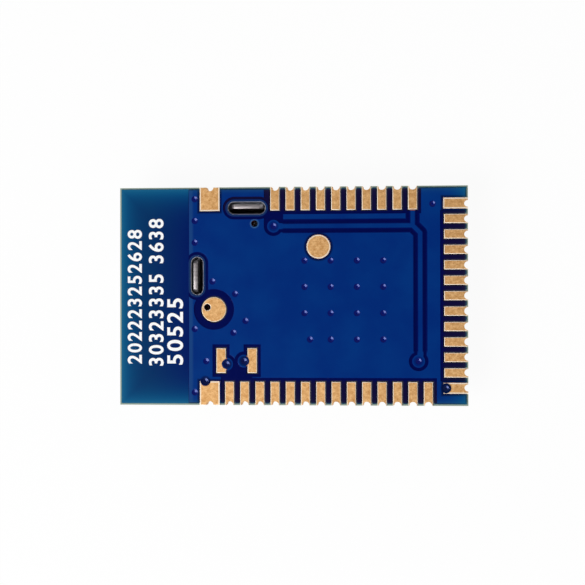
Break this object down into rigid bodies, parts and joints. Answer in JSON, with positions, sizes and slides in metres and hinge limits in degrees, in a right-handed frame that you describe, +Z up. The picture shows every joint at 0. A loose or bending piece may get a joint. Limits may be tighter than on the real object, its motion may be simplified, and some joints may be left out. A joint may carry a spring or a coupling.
{
  "type": "castellated radio module",
  "caption": "Small blue circuit board with gold half-hole contacts on three edges, a folded metal shield can over its parts and a bare antenna end.",
  "frame": {"origin": "centre of the bounding box at its bottom, on the plane of the shield can's lid, below the middle of the board", "axes": "+X along the board's length, away from the antenna end; +Y across the board towards the row with the fewer contacts; +Z up, out of the solder side"},
  "size_m": [0.016, 0.01, 0.0022],
  "materials": {
    "laminate": "cut glass-fibre laminate",
    "solder_mask": "semi-gloss lacquer",
    "copper": "bare copper",
    "gold": "satin gold plating",
    "tin": "dull tin",
    "can_sheet": "satin rolled sheet",
    "moulding": "matt moulded epoxy",
    "dark_ceramic": "fired ceramic",
    "crystal_lid": "plated lid",
    "capacitor_ceramic": "fired ceramic",
    "ferrite": "fired ferrite",
    "antenna_ceramic": "fired ceramic",
    "print": "white printed ink"
  },
  "bodies": {
    "root": {"laminate": "laminate", "solder_side_copper": "copper", "component_side_copper": "copper", "via_barrels": "copper", "slot_linings": "tin", "solder_side_mask": "solder_mask", "component_side_mask": "solder_mask", "lower_edge_contacts": "gold", "upper_edge_contacts": "gold", "end_edge_contacts": "gold", "corner_ground_contacts": "gold", "ground_test_land": "gold", "antenna_test_land": "gold", "spare_part_lands": "gold", "shield_can": "can_sheet", "shield_solder": "tin", "processor_package": "moulding", "processor_leads": "tin", "processor_paddle": "tin", "radio_crystal_base": "dark_ceramic", "radio_crystal_lid": "crystal_lid", "clock_crystal_base": "dark_ceramic", "clock_crystal_lid": "crystal_lid", "crystal_terminals": "gold", "capacitor_bodies": "capacitor_ceramic", "capacitor_ends": "tin", "inductor_bodies": "ferrite", "inductor_ends": "tin", "antenna_body": "antenna_ceramic", "antenna_ends": "tin"}
  },
  "joints": []
}
